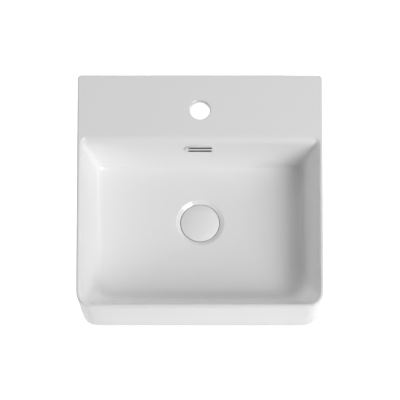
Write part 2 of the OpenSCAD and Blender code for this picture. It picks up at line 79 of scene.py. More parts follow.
def pick(test, mode="verts"):
    """Selects what passes a test of its place in the mesh that is being edited, and nothing else."""
    mesh = bmesh.from_edit_mesh(bpy.context.object.data)
    bpy.ops.mesh.select_mode(type={"verts": "VERT", "edges": "EDGE", "faces": "FACE"}[mode])
    bpy.ops.mesh.select_all(action="DESELECT")
    found = [e for e in getattr(mesh, mode) if test(e)]
    for e in found:
        e.select = True
    mesh.select_flush_mode()
    bmesh.update_edit_mesh(bpy.context.object.data)
    return found


def chosen():
    """The places of the vertices that are selected in the mesh that is being edited."""
    return [v.co.copy() for v in bmesh.from_edit_mesh(bpy.context.object.data).verts if v.select]


def finish_mesh(piece, *modifiers):
    """Leaves edit mode and applies the modifiers given as (kind, settings)."""
    bpy.ops.object.mode_set(mode="OBJECT")
    bpy.context.view_layer.objects.active = piece
    for kind, settings in modifiers:
        step = piece.modifiers.new(kind.title(), kind)
        for name, value in settings.items():
            setattr(step, name, value)
        bpy.ops.object.modifier_apply(modifier=step.name)
    return piece


def edge_in(rise, r):
    """How far an edge of radius r has drawn in at a rise above its start."""
    return 0 if rise <= 0 else r - sqrt(max(0, r * r - min(rise, r) ** 2))


def wall_in(z, lean, cove, behind=0):
    """How far a bowl wall stands inside its own top edge at height z, on the glaze or behind it."""
    r = cove + behind
    centre_z = FLOOR_EDGE_Z + cove
    if z >= centre_z - r * sin(lean):
        return (BASIN_H - z) * tan(lean) - behind / cos(lean)
    full = cove * cos(lean) + (BOWL_DEPTH - cove * (1 - sin(lean))) * tan(lean)
    return full - sqrt(max(0, r * r - (centre_z - z) ** 2))


def skirt_outline(z, inset=0):
    """Half width, front, back, front corners' radius, back corners' radius and height of the skirt."""
    draw = SKIRT_TAPER * max(0, 1 - z / (BASIN_H - RIM_EDGE))
    low = inset or edge_in(FOOT_EDGE - z, FOOT_EDGE)
    side = low + (0 if inset else edge_in(z - BASIN_H + RIM_EDGE, RIM_EDGE))
    rear = low + (0 if inset else edge_in(z - BASIN_H + BACK_EDGE, BACK_EDGE))
    corner = FOOT_CORNER + FOOT_CORNER_GROWS * z / BASIN_H
    return (BASIN_W / 2 - draw - side, -BASIN_D / 2 + draw + side, BASIN_D / 2 - rear,
            max(corner - side, MM), max(BACK_CORNER - rear, MM), z)


def bowl_outline(z, behind=0):
    """The same for the bowl, on its glaze or on the back of the clay."""
    share = (BASIN_H - z) / BOWL_DEPTH
    lip = 0 if behind else edge_in(z - BASIN_H + RIM_EDGE, RIM_EDGE)
    ledge_lip = 0 if behind else edge_in(z - BASIN_H + LEDGE_EDGE, LEDGE_EDGE)
    return (BASIN_W / 2 - RIM_W - wall_in(z, SIDE_LEAN, SIDE_COVE, behind) + lip,
            -BASIN_D / 2 + RIM_W + wall_in(z, FRONT_LEAN, FRONT_COVE, behind) - lip,
            LEDGE_Y - wall_in(z, BACK_LEAN, BACK_COVE, behind) + ledge_lip,
            BOWL_CORNER + BOWL_CORNER_GROWS * share + lip + behind,
            LEDGE_CORNER + LEDGE_CORNER_GROWS * share + ledge_lip + behind, z)


def corners(outline):
    """The arc centre and the radius of each corner of an outline."""
    half, front, back, front_r, back_r, z = outline
    return {(side, end): (Vector((side * (half - r), y, z)), r) for side in (-1, 1)
            for end, y, r in ((-1, front + front_r, front_r), (1, back - back_r, back_r))}


def first_outline(outline):
    """A plane at the outline's place and size, its corners bevelled round and its face taken out."""
    half, front, back, front_r, back_r, z = outline
    middle = (front + back) / 2
    bpy.ops.mesh.primitive_plane_add(size=2 * half, location=(0, middle, z))
    bpy.ops.transform.resize(value=(1, (back - front) / (2 * half), 1), center_override=(0, middle, z))
    for end, r in ((-1, front_r), (1, back_r)):
        pick(lambda v: end * (v.co.y - middle) > 0)
        bpy.ops.mesh.bevel(offset=r, offset_type="OFFSET", segments=6, affect="VERTICES", profile=0.5)
    bpy.ops.mesh.select_all(action="SELECT")
    bpy.ops.mesh.delete(type="ONLY_FACE")
    bpy.ops.mesh.select_all(action="SELECT")


def next_outline(old, new):
    """Extrudes the selected loop and takes each of its four corners to the next outline's."""
    bpy.ops.mesh.extrude_region()
    loop = {v.index for v in bmesh.from_edit_mesh(bpy.context.object.data).verts if v.select}
    middle = (old[1] + old[2]) / 2
    for (side, end), (centre, r) in corners(old).items():
        target, target_r = corners(new)[side, end]
        pick(lambda v: v.index in loop and v.co.x * side > 0 and (v.co.y - middle) * end > 0)
        share = target_r / r
        bpy.ops.transform.resize(value=(share, share, 1), center_override=centre)
        bpy.ops.transform.translate(value=target - centre)
    pick(lambda e: all(v.index in loop for v in e.verts), "edges")


def skin(outlines, close=True):
    """A shell through a stack of outlines, its long sides divided, closed at its ends if asked."""
    long_side, cuts = 115 * MM, 6
    first_outline(outlines[0])
    if close:
        bpy.ops.mesh.edge_face_add()
        bpy.ops.mesh.select_all(action="SELECT")
    for old, new in zip(outlines, outlines[1:]):
        next_outline(old, new)
    if close:
        bpy.ops.mesh.edge_face_add()
    pick(lambda e: e.calc_length() > long_side, "edges")
    bpy.ops.mesh.subdivide(number_cuts=cuts)


def turned(profile, steps, middle=(0, 0)):
    """A lathe profile of (radius, height): a circle is extruded and scaled from point to point."""
    r, z = profile[0]
    bpy.ops.mesh.primitive_circle_add(vertices=steps, radius=r, location=(*middle, z))
    for new_r, new_z in profile[1:]:
        bpy.ops.mesh.extrude_region()
        bpy.ops.transform.resize(value=(new_r / r, new_r / r, 1), center_override=(*middle, z))
        bpy.ops.transform.translate(value=(0, 0, new_z - z))
        r, z = new_r, new_z


def arc_points(centre_r, centre_z, r, start, end, steps):
    """Points of (radius, height) on an arc, its angles in degrees from outwards, upwards being 90."""
    angles = [radians(start + (end - start) * i / steps) for i in range(steps + 1)]
    return [(centre_r + r * cos(a), centre_z + r * sin(a)) for a in angles]


def hex_colour(text):
    """An sRGB hex colour as linear values."""
    parts = [int(text[i:i + 2], 16) / 255 for i in (0, 2, 4)]
    return (*[c / 12.92 if c <= 0.04045 else ((c + 0.055) / 1.055) ** 2.4 for c in parts], 1)


def add(tree, kind, settings={}, links={}):
    """A node with its settings, each input given a value or linked to an output."""
    node = tree.nodes.new(kind)
    for name, value in settings.items():
        setattr(node, name, value)
    for name, value in links.items():
        if isinstance(value, bpy.types.NodeSocket):
            tree.links.new(value, node.inputs[name])
        else:
            node.inputs[name].default_value = value
    return node


def surface(name, colour, rough, patch, grain, depth, **plain):
    """A principled material: its roughness drifts over patches, its skin is uneven over grains, in metres."""
    made = bpy.data.materials.new(name)
    made.use_nodes = True
    tree = made.node_tree
    shader = tree.nodes["Principled BSDF"]
    shader.inputs["Base Color"].default_value = hex_colour(colour)
    for socket, value in plain.items():
        shader.inputs[socket].default_value = value
    place = add(tree, "ShaderNodeTexCoord").outputs["Object"]
    drift = add(tree, "ShaderNodeTexNoise", {}, {"Vector": place, "Scale": 1 / patch, "Detail": 2.0})
    spread = add(tree, "ShaderNodeMapRange", {}, {"Value": drift.outputs[0], "From Min": 0.3, "From Max": 0.7,
                                                  "To Min": rough[0], "To Max": rough[1]})
    tree.links.new(spread.outputs[0], shader.inputs["Roughness"])
    uneven = add(tree, "ShaderNodeTexNoise", {}, {"Vector": place, "Scale": 1 / grain, "Detail": 2.0})
    bump = add(tree, "ShaderNodeBump", {}, {"Height": uneven.outputs[0], "Distance": depth})
    tree.links.new(bump.outputs[0], shader.inputs["Normal"])
    return made


# Fired glaze: a bright mirror-like skin with the faint swell of a poured coat. Bare fired china, where the
# glaze is wiped off: matt, warmer and sandy
GLAZE = surface("glazed_vitreous_china", "F3F3F3", rough=(0.06, 0.12), patch=90 * MM, grain=16 * MM,
                depth=0.035 * MM, IOR=1.52)
BISQUE = surface("bare_fired_china", "E6E1D6", rough=(0.75, 0.95), patch=12 * MM, grain=0.7 * MM,
                 depth=0.05 * MM)

# The outside from the foot up, over the rim and the ledge, and down the bowl to the foot of its walls
basin = new_mesh("basin_clay")
basin.data.materials.append(GLAZE)
outside = [skirt_outline(0, 9 * MM), skirt_outline(0, 5.6 * MM)]
outside += [skirt_outline(FOOT_EDGE * (1 - cos(radians(a)))) for a in (0, 30, 60, 90)]
outside += [skirt_outline(z * MM) for z in (12, 65, 118)]
outside += [skirt_outline(BASIN_H - RIM_EDGE * (1 - sin(radians(a)))) for a in (0, 30, 55, 75, 90)]
outside += [bowl_outline(BASIN_H - LEDGE_EDGE * (1 - sin(radians(a)))) for a in (90, 80, 65, 45, 22, 0)]
outside += [bowl_outline(z * MM) for z in (113, 85, 62, 54.8, 49.4, 44.9, 41.5, 39, 37.5, 37)]
skin(outside, close=False)

# The floor falls to the drain: the loop at the foot of the walls is extruded inwards and drawn rounder each
# time, towards the circle round the dish
drain = Vector((0, DRAIN_Y, 0))
pick(lambda e: all(abs(v.co.z - FLOOR_EDGE_Z) < SAME for v in e.verts), "edges")
done = 0
for share in (0.04, 0.15, 0.35, 0.55, 0.75):
    bpy.ops.mesh.extrude_region()
    step = (share - done) / (1 - done)
    radii = [(co - drain).xy.length for co in chosen()]
    mean = sum(radii) / len(radii)
    size = 1 - step + step * ROUND_R / mean
    level = Vector((0, DRAIN_Y, chosen()[0].z))
    bpy.ops.transform.tosphere(value=1 - (1 - step) / size, center_override=level)
    bpy.ops.transform.resize(value=(size, size, 1), center_override=level)
    bpy.ops.transform.translate(value=(0, 0, FLOOR_EDGE_Z + (ROUND_Z - FLOOR_EDGE_Z) * share - level.z))
    done = share
bpy.ops.mesh.select_all(action="DESELECT")

# The dish round the recess, the flat seat, the drain hole and the boss round it, bridged to the floor
slope = DISH_H / DISH_W
turned([(ROUND_R, ROUND_Z), (RECESS_R + DISH_W + 1.2 * MM, FLOOR_Z + 0.03 * MM)]
       + [(RECESS_R + w * MM, FLOOR_Z - DISH_H + w * MM * slope) for w in (7.6, 6.4, 3.5, 1.2, 0.5)]
       + [(RECESS_R + 0.1 * MM, FLOOR_Z - DISH_H - 0.1 * MM), (RECESS_R, FLOOR_Z - DISH_H - 0.8 * MM)]
       + arc_points(RECESS_R - RECESS_COVE, SEAT_Z + RECESS_COVE, RECESS_COVE, 0, -90, 3)
       + [(RECESS_R - 7 * MM, SEAT_Z), (DRAIN_HOLE_R + 2 * MM, SEAT_Z), (DRAIN_HOLE_R + 0.4 * MM, SEAT_Z),
          (DRAIN_HOLE_R, SEAT_Z - 0.4 * MM), (DRAIN_HOLE_R, SEAT_Z - 2 * MM), (DRAIN_HOLE_R, 2 * MM)],
       steps=52, middle=drain.xy)
bpy.ops.mesh.edge_face_add()
floor_loop = FLOOR_EDGE_Z + (ROUND_Z - FLOOR_EDGE_Z) * done
pick(lambda e: e.is_boundary and any(all(abs(v.co.z - z) < SAME for v in e.verts)
                                     for z in (floor_loop, ROUND_Z)), "edges")
bpy.ops.mesh.bridge_edge_loops()
pick(lambda e: e.is_boundary, "edges")
bpy.ops.mesh.edge_face_add()
bpy.ops.mesh.select_all(action="SELECT")
bpy.ops.mesh.normals_make_consistent(inside=False)
finish_mesh(basin, ("SUBSURF", {"levels": 2, "render_levels": 2}))


def use(tool, piece, operation="DIFFERENCE"):
    """Cuts a tool mesh from a piece, or joins it on, and deletes the tool."""
    bpy.ops.object.select_all(action="DESELECT")
    finish_mesh(piece, ("BOOLEAN", {"operation": operation, "object": tool, "solver": "EXACT",
                                    "material_mode": "TRANSFER"}))
    bpy.data.objects.remove(tool)


def block(name, low, high, soft=0):
    """A box between two corners in millimetres, its upright edges bevelled round."""
    piece = new_mesh(name)
    low, high = Vector(low) * MM, Vector(high) * MM
    middle = (low + high) / 2
    bpy.ops.mesh.primitive_cube_add(size=1, location=middle)
    bpy.ops.transform.resize(value=high - low, center_override=middle)
    if soft:
        pick(lambda e: abs(e.verts[0].co.z - e.verts[1].co.z) > SAME, "edges")
        bpy.ops.mesh.bevel(offset=soft * MM, segments=5)
    return finish_mesh(piece)


def lofted(name, outlines):
    """A closed solid through a stack of outlines."""
    piece = new_mesh(name)
    skin(outlines)
    bpy.ops.mesh.select_all(action="SELECT")
    bpy.ops.mesh.normals_make_consistent(inside=False)
    return finish_mesh(piece)


def lathe(name, profile, steps=64, middle=(0, 0)):
    """A closed solid of revolution from a profile that starts and ends off its axis."""
    piece = new_mesh(name)
    turned(profile, steps, middle)
    pick(lambda e: e.is_boundary, "edges")
    bpy.ops.mesh.edge_face_add()
    bpy.ops.mesh.select_all(action="SELECT")
    bpy.ops.mesh.normals_make_consistent(inside=False)
    return finish_mesh(piece)


# The hollow underneath: low all round and high under the ledge, less the bowl's own clay, the duct's clay and
# the boss
FOOT_SLOPE_TOP, HOLLOW_TOP = 19 * MM, 54 * MM
hollow = lofted("hollow", [skirt_outline(-MM, FOOT_W), skirt_outline(FOOT_H, FOOT_W),
                           skirt_outline(FOOT_SLOPE_TOP, WALL), skirt_outline(HOLLOW_TOP, WALL)])
use(block("under_ledge", (-189.5, 96, 20), (189.5, 200, 118), soft=9), hollow, "UNION")
levels = [28, 28.4, 29.5, 31.5, 35, 39.5, 46, 60, 131]
use(lofted("bowl_back", [bowl_outline(z * MM, WALL) for z in levels]), hollow)
use(block("duct_clay", (-33, -24, 4), (33, 118, 37), soft=3), hollow)
use(block("duct_back", (-33, 83, 4), (33, 118, 131), soft=5), hollow)
boss = [(BOSS_R - BOSS_EDGE, BOSS_Z), (BOSS_R, BOSS_Z + BOSS_EDGE), (BOSS_R, FLOOR_Z)]
use(lathe("boss", boss, middle=drain.xy), hollow)
hollow.data.materials.append(BISQUE)
use(hollow, basin)

# The overflow's way down behind the bowl and forward into the drain hole, and its slot for the trim
OVERFLOW_Z = 103 * MM
OVERFLOW_Y = LEDGE_Y - (BASIN_H - OVERFLOW_Z) * tan(BACK_LEAN)
COLLAR_H, COLLAR_STRETCH, COLLAR_ROOM = 9 * MM, 12.9 * MM, 0.3 * MM
use(block("duct", (-27, 101, 8), (27, 112, 113.3), soft=3), basin)
use(block("duct_low", (-20, -20, 8), (20, 109, 15), soft=1), basin)


def oblong(name, profile, stretch, up=0):
    """A lathe solid pulled out sideways into an oblong and stood on the back wall at the overflow."""
    piece = lathe(name, profile, 48)
    bpy.ops.object.mode_set(mode="EDIT")
    for side in (-1, 1):
        pick(lambda v: v.co.x * side > SAME)
        bpy.ops.transform.translate(value=(side * stretch, 0, 0))
    bpy.ops.mesh.select_all(action="SELECT")
    bpy.ops.transform.translate(value=(0, up, 0))
    bpy.ops.transform.rotate(value=BACK_LEAN - pi / 2, orient_axis="X", center_override=(0, 0, 0))
    bpy.ops.transform.translate(value=(0, OVERFLOW_Y, OVERFLOW_Z))
    return finish_mesh(piece)


hole_r = COLLAR_H + COLLAR_ROOM
use(oblong("overflow_hole", [(hole_r, -22 * MM), (hole_r, 2 * MM)], COLLAR_STRETCH), basin)

# The notch that lets hoses out at the back, and the tap hole with its glazed edge
NOTCH_SIZE, NOTCH_MIDDLE, NOTCH_CORNER = (110 * MM, 30 * MM, 49 * MM), (0, 204 * MM, 23.5 * MM), 12 * MM
notch = new_mesh("notch")
bpy.ops.mesh.primitive_cube_add(size=1, location=NOTCH_MIDDLE)
bpy.ops.transform.resize(value=NOTCH_SIZE, center_override=NOTCH_MIDDLE)
pick(lambda e: all(v.co.z > NOTCH_MIDDLE[2] for v in e.verts) and abs(e.verts[0].co.y - e.verts[1].co.y) > MM,
     "edges")
bpy.ops.mesh.bevel(offset=NOTCH_CORNER, segments=8)
finish_mesh(notch)
use(notch, basin)
TAP_R, TAP_EDGE, TAP_Y = 17.5 * MM, 2 * MM, 146 * MM
use(lathe("tap_hole", [(TAP_R, BASIN_H - 20 * MM)]
          + arc_points(TAP_R + TAP_EDGE, BASIN_H - TAP_EDGE, TAP_EDGE, 180, 90, 6)
          + [(TAP_R + TAP_EDGE, BASIN_H + 3 * MM)], middle=(0, TAP_Y)), basin)

# The faces that look down at the foot are left bare of glaze
bpy.ops.object.select_all(action="DESELECT")
basin.select_set(True)
bpy.ops.object.mode_set(mode="EDIT")
pick(lambda f: f.normal.z < -0.8 and f.calc_center_median().z < 1.2 * MM, "faces")
basin.active_material_index = 1
bpy.ops.object.material_slot_assign()
bpy.ops.object.mode_set(mode="OBJECT")
bpy.ops.object.shade_smooth_by_angle(angle=radians(35))
finish_mesh(basin, ("WEIGHTED_NORMAL", {"keep_sharp": True, "weight": 60}))
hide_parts("basin")
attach(basin, "basin_set")


# The overflow trim. Injection-moulded plastic with a mirror chrome plating: an oblong plate with two slots
# that lies on the glaze, and a collar behind it that is pressed into the basin's overflow hole.
PLATE_BACK, PLATE_T, PLATE_H, PLATE_STRETCH = 0.05 * MM, 2.2 * MM, 10.7 * MM, 16 * MM
PLATE_EDGE, PLATE_BACK_EDGE, COLLAR_WALL = 0.9 * MM, 0.3 * MM, 1.1 * MM
SLOT_H, SLOT_STRETCH, SLOT_UP, SLOT_EDGE = 2.4 * MM, 18.1 * MM, 5.2 * MM, 0.35 * MM
FACE = PLATE_BACK + PLATE_T


def dressed(piece, node, slot, body, *materials, angle=35):
    """Smooths a finished piece, gives it its materials and puts it in the place of its CAD node."""
    if materials:
        piece.data.materials.clear()
    for made in materials:
        piece.data.materials.append(made)
    bpy.ops.object.select_all(action="DESELECT")
    piece.select_set(True)
    bpy.context.view_layer.objects.active = piece
    bpy.ops.object.shade_smooth_by_angle(angle=radians(angle))
    finish_mesh(piece, ("WEIGHTED_NORMAL", {"keep_sharp": True, "weight": 60}))
    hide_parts(node)
    if body:
        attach(piece, body)


trim = oblong("overflow_trim_plate",
              [(PLATE_H - PLATE_BACK_EDGE, PLATE_BACK), (PLATE_H, PLATE_BACK + PLATE_BACK_EDGE)]
              + arc_points(PLATE_H - PLATE_EDGE, FACE - PLATE_EDGE, PLATE_EDGE, 0, 90, 5), PLATE_STRETCH)
collar = [(COLLAR_H - 0.5 * MM, -11 * MM), (COLLAR_H, -10.5 * MM), (COLLAR_H, MM)]
use(oblong("collar", collar, COLLAR_STRETCH), trim, "UNION")
# Decorative chrome: a near mirror that takes the white of the bowl, with the least drift in its polish.
# Inside the slots and the collar a dull dark grey metal is painted shade, standing in for the dark where
# little light gets in
CHROME = surface("chrome_plated_abs", "F2F2F1", rough=(0.04, 0.08), patch=8 * MM, grain=5 * MM,
                 depth=0.004 * MM, Metallic=1)
PAINTED_SHADE_METAL = surface("painted_shade_dark_metal", "4C4D4E", rough=(0.4, 0.55), patch=5 * MM, grain=1.5 * MM,
                       depth=0.01 * MM, Metallic=1)
trim.data.materials.append(CHROME)
bore_r, bore_edge = COLLAR_H - COLLAR_WALL, 0.4 * MM
# The collar's bore is lined with the dark metal: painted shade for its dark inside
bore = oblong("collar_bore", [(bore_r, -12 * MM), (bore_r, -bore_edge), (bore_r - bore_edge, 0)],
              COLLAR_STRETCH)
bore.data.materials.append(PAINTED_SHADE_METAL)
use(bore, trim)
overflow = Vector((0, OVERFLOW_Y, OVERFLOW_Z))
outwards = Vector((0, -cos(BACK_LEAN), sin(BACK_LEAN)))
# The slots' walls take the dark metal as painted shade; only their rounded lips stay chrome
for side in (-1, 1):
    slot = oblong("slot", [(SLOT_H, -2 * MM), (SLOT_H, FACE - SLOT_EDGE)]
                  + arc_points(SLOT_H + SLOT_EDGE, FACE - SLOT_EDGE, SLOT_EDGE, 150, 90, 2)
                  + [(SLOT_H + SLOT_EDGE, FACE + MM)], SLOT_STRETCH, side * SLOT_UP)
    slot.data.materials.append(PAINTED_SHADE_METAL)
    slot.data.materials.append(CHROME)
    bpy.ops.object.mode_set(mode="EDIT")
    pick(lambda f: (f.calc_center_median() - overflow).dot(outwards) > FACE - SLOT_EDGE, "faces")
    slot.active_material_index = 1
    bpy.ops.object.material_slot_assign()
    use(finish_mesh(slot), trim)
dressed(trim, "overflow_trim", "chrome_trim", "basin_set")


# The drain cap. A pressed and glazed china dome of the same white as the basin, with a rounded edge and a
# shallow round pocket underneath in which its brass insert is glued.
CAP_R, CAP_EDGE_H, CAP_DOME_H, CAP_UNDER_R, CAP_Z = 33 * MM, 3 * MM, 5.2 * MM, 1.2 * MM, 24.6 * MM
CAP_SOFT, CAP_SOFT_DOWN, INSERT_R, INSERT_T = 0.9 * MM, 0.6 * MM, 21.5 * MM, 2.5 * MM
POCKET_ROOM, POCKET_Z = 0.3 * MM, CAP_Z + INSERT_T
CROWN = 2.6  # a power over 2 makes the dome flatter in its middle and steeper at its edge than a ball
dome = [(r * MM, CAP_Z + CAP_EDGE_H + CAP_DOME_H * (1 - (r * MM / CAP_R) ** CROWN))
        for r in (31.5, 30, 28, 25.5, 22.5, 19, 15, 11, 7, 3)]
pocket_r = INSERT_R + POCKET_ROOM
cap = lathe("drain_cap_china", [(4 * MM, POCKET_Z), (pocket_r - 0.5 * MM, POCKET_Z),
                                (pocket_r, POCKET_Z - 0.5 * MM), (pocket_r, CAP_Z + 0.3 * MM),
                                (pocket_r + 0.3 * MM, CAP_Z)]
            + arc_points(CAP_R - CAP_UNDER_R, CAP_Z + CAP_UNDER_R, CAP_UNDER_R, -90, 0, 4)
            + arc_points(CAP_R - CAP_SOFT, CAP_Z + CAP_EDGE_H - CAP_SOFT_DOWN, CAP_SOFT, 0, 67, 4)
            + dome, steps=96, middle=drain.xy)
# Glazed china again, its swell and drift finer, as on a small pressed piece
CHINA = surface("pressed_glazed_china", "F3F3F3", rough=(0.06, 0.12), patch=25 * MM, grain=9 * MM,
                depth=0.02 * MM, IOR=1.52)
dressed(cap, "drain_cap", "glaze", "cap", CHINA)


# The cap's insert. A turned brass disc with a threaded boss in its middle, glued into the cap's pocket; the
# plunger screws into it.
STEM_R, BORE_FIT, INSERT_BOSS_R, INSERT_BOSS_L = 4 * MM, 0.05 * MM, 7 * MM, 8 * MM


def tool_marks(made, pitch, depth):
    """Adds the fine rings and bands that a lathe tool leaves round the drain's axis, two pitches apart."""
    tree = made.node_tree
    place = add(tree, "ShaderNodeTexCoord").outputs["Object"]
    centred = add(tree, "ShaderNodeVectorMath", {"operation": "SUBTRACT"}, {0: place, 1: drain}).outputs[0]
    marks = [add(tree, "ShaderNodeTexWave", {"wave_type": kind, way: "Z"},
                 {"Vector": centred, "Scale": 1 / (6.4 * pitch), "Distortion": 0.4, "Detail": 1.0}).outputs[0]
             for kind, way in (("BANDS", "bands_direction"), ("RINGS", "rings_direction"))]
    both = add(tree, "ShaderNodeMath", {"operation": "ADD"}, {0: marks[0], 1: marks[1]}).outputs[0]
    shader = tree.nodes["Principled BSDF"]
    before = shader.inputs["Normal"].links[0].from_socket
    bump = add(tree, "ShaderNodeBump", {}, {"Height": both, "Distance": depth, "Normal": before})
    tree.links.new(bump.outputs[0], shader.inputs["Normal"])
    return made


boss_z, lead = CAP_Z - INSERT_BOSS_L, 0.3 * MM
insert = lathe("cap_insert_brass", [(MM, CAP_Z + INSERT_T / 2), (STEM_R + BORE_FIT, CAP_Z + INSERT_T / 2),
                                    (STEM_R + BORE_FIT, boss_z + 0.4 * MM), (STEM_R + 0.45 * MM, boss_z),
                                    (INSERT_BOSS_R - 0.5 * MM, boss_z), (INSERT_BOSS_R, boss_z + 0.5 * MM),
                                    (INSERT_BOSS_R, CAP_Z), (INSERT_R - lead, CAP_Z),
                                    (INSERT_R, CAP_Z + lead), (INSERT_R, POCKET_Z - lead),
                                    (INSERT_R - lead, POCKET_Z), (MM, POCKET_Z)], steps=72, middle=drain.xy)
# Turned brass: warm yellow metal, satin from the tool's fine rings, drawn coarser than the real feed
BRASS = tool_marks(surface("turned_brass", "D8BC78", rough=(0.22, 0.36), patch=6 * MM, grain=2 * MM,
                           depth=0.004 * MM, Metallic=1), pitch=0.4 * MM, depth=0.004 * MM)
dressed(insert, "cap_insert", "brass", "cap", BRASS)


# The cap's seal. A moulded rubber ring under the cap, round at its edges, with a shallow groove in its face;
# it closes on the waste's flange when the cap is down.
SEAL_IN, SEAL_OUT, SEAL_LOW = 21.8 * MM, 26.8 * MM, 22.5 * MM


def rubber_ring(name, inner, outer, low, high, soft, groove=0):
    """A ring with rounded edges and, where asked, a shallow groove round its lower face."""
    middle = (inner + outer) / 2
    grooved = [(middle - 2 * groove, low), (middle - groove, low + groove), (middle + groove, low + groove),
               (middle + 2 * groove, low)] if groove else [(middle, low)]
    profile = (arc_points(inner + soft, high - soft, soft, 90, 180, 3)
               + arc_points(inner + soft, low + soft, soft, 180, 270, 3) + grooved
               + arc_points(outer - soft, low + soft, soft, 270, 360, 3)
               + arc_points(outer - soft, high - soft, soft, 0, 90, 3))
    return ring(name, profile, 72)


def ring(name, profile, steps=64):
    """A closed ring round the drain's axis: the profile's last point is joined back to its first."""
    piece = new_mesh(name)
    turned(profile + profile[:1], steps, drain.xy)
    bpy.ops.mesh.select_all(action="SELECT")
    bpy.ops.mesh.remove_doubles(threshold=SAME)
    bpy.ops.mesh.normals_make_consistent(inside=False)
    return finish_mesh(piece)


seal = rubber_ring("cap_seal_rubber", SEAL_IN, SEAL_OUT, SEAL_LOW, CAP_Z, soft=0.6 * MM, groove=0.4 * MM)
# Moulded rubber: near black, dull, with the faint bloom that drifts over its skin
RUBBER = surface("moulded_epdm_rubber", "1E1E1F", rough=(0.45, 0.7), patch=7 * MM, grain=0.8 * MM,
                 depth=0.02 * MM, IOR=1.52)
dressed(seal, "cap_seal", "rubber", "cap", RUBBER)


# The plunger. A turned brass stem, threaded at its top, with a collar that slides in the cartridge's bore and
# a pin below it on which the ratchet rotor turns.
SLIDE_LOW, SLIDE_TOP, SLIDE_R, PIN_R, PIN_LOW = -4 * MM, 1.5 * MM, 6.15 * MM, 2.5 * MM, -12.8 * MM
STEM_THREAD_LOW = 13.1 * MM


def thread(piece, r, pitch, depth, low, high, steps=40):
    """Cuts a helical groove round the drain's axis: a pointed outline is wound up by a screw modifier."""
    groove = new_mesh("groove")
    half = pitch * 0.43
    bpy.ops.mesh.primitive_circle_add(vertices=4, radius=half, location=(r, 0, low), rotation=(pi / 2, 0, 0))
    pick(lambda v: v.co.x < r - half / 2)
    bpy.ops.transform.translate(value=(half - depth, 0, 0))
    pick(lambda v: v.co.x > r + half / 2)
    bpy.ops.transform.translate(value=(0.4 * depth - half, 0, 0))
    bpy.ops.mesh.bevel(offset=0.3 * depth, affect="VERTICES")
    turns = int((high - low) / pitch)
    finish_mesh(groove, ("SCREW", {"axis": "Z", "angle": 2 * pi, "screw_offset": (high - low) / turns,
                                   "iterations": turns, "steps": steps, "render_steps": steps}))
    bpy.ops.object.mode_set(mode="EDIT")
    bpy.ops.mesh.select_all(action="SELECT")
    bpy.ops.mesh.remove_doubles(threshold=SAME)
    bpy.ops.mesh.fill_holes(sides=0)
    bpy.ops.mesh.normals_make_consistent(inside=False)
    bpy.ops.transform.translate(value=drain)
    finish_mesh(groove)
    use(groove, piece)


lead, tip = 0.4 * MM, 0.5 * MM
plunger = lathe("plunger_stem", [(MM, PIN_LOW), (PIN_R - lead, PIN_LOW), (PIN_R, PIN_LOW + lead),
                                 (PIN_R, SLIDE_LOW), (SLIDE_R - lead, SLIDE_LOW),
                                 (SLIDE_R, SLIDE_LOW + lead), (SLIDE_R, SLIDE_TOP - lead),
                                 (SLIDE_R - lead, SLIDE_TOP), (STEM_R, SLIDE_TOP),
                                 (STEM_R, CAP_Z - tip), (STEM_R - tip, CAP_Z), (MM, CAP_Z)], middle=drain.xy)
thread(plunger, STEM_R, pitch=1.25 * MM, depth=0.7 * MM, low=STEM_THREAD_LOW, high=CAP_Z + 2 * MM)
dressed(plunger, "plunger", "brass", "cap", BRASS)


# The cap's lock nut. A thin plated hexagon nut on the stem that is turned up against the insert's boss, where
# it keeps the cap at its height.
NUT_LOW, NUT_TOP, NUT_FLATS = 13 * MM, 16.6 * MM, 13 * MM


def hexagon(name, flats, low, high, lead):
    """A hexagon prism whose corners are turned off at both ends by the lead given."""
    piece = new_mesh(name)
    r = flats / sqrt(3)
    spare = MM / 5
    bpy.ops.mesh.primitive_cylinder_add(vertices=6, radius=r, depth=high - low,
                                        location=(*drain.xy, (low + high) / 2))
    finish_mesh(piece)
    turned_off = lathe("lead", [(flats / 2 - spare, low), (flats / 2, low), (r + spare, low + lead),
                                (r + spare, high - lead), (flats / 2, high), (flats / 2 - spare, high)],
                       steps=96, middle=drain.xy)
    use(turned_off, piece, "INTERSECT")
    return piece


def bored(piece, r, low, high, lead):
    """Bores a piece through along the drain's axis, with a small lead at both mouths."""
    profile = [(r + 2 * lead, low - lead), (r, low + lead), (r, high - lead), (r + 2 * lead, high + lead)]
    use(lathe("bore", profile, middle=drain.xy), piece)


lock_nut = hexagon("cap_lock_nut_plated", NUT_FLATS, NUT_LOW, NUT_TOP, lead=0.6 * MM)
bored(lock_nut, STEM_R + BORE_FIT, NUT_LOW, NUT_TOP, lead=0.3 * MM)
# Nickel and chrome over brass: colder and a touch duller than the trim's mirror
PLATED = surface("chrome_plated_brass", "C4C6C9", rough=(0.07, 0.15), patch=10 * MM, grain=3 * MM,
                 depth=0.004 * MM, Metallic=1)
dressed(lock_nut, "cap_lock_nut", "plated_brass", "cap", PLATED, angle=25)


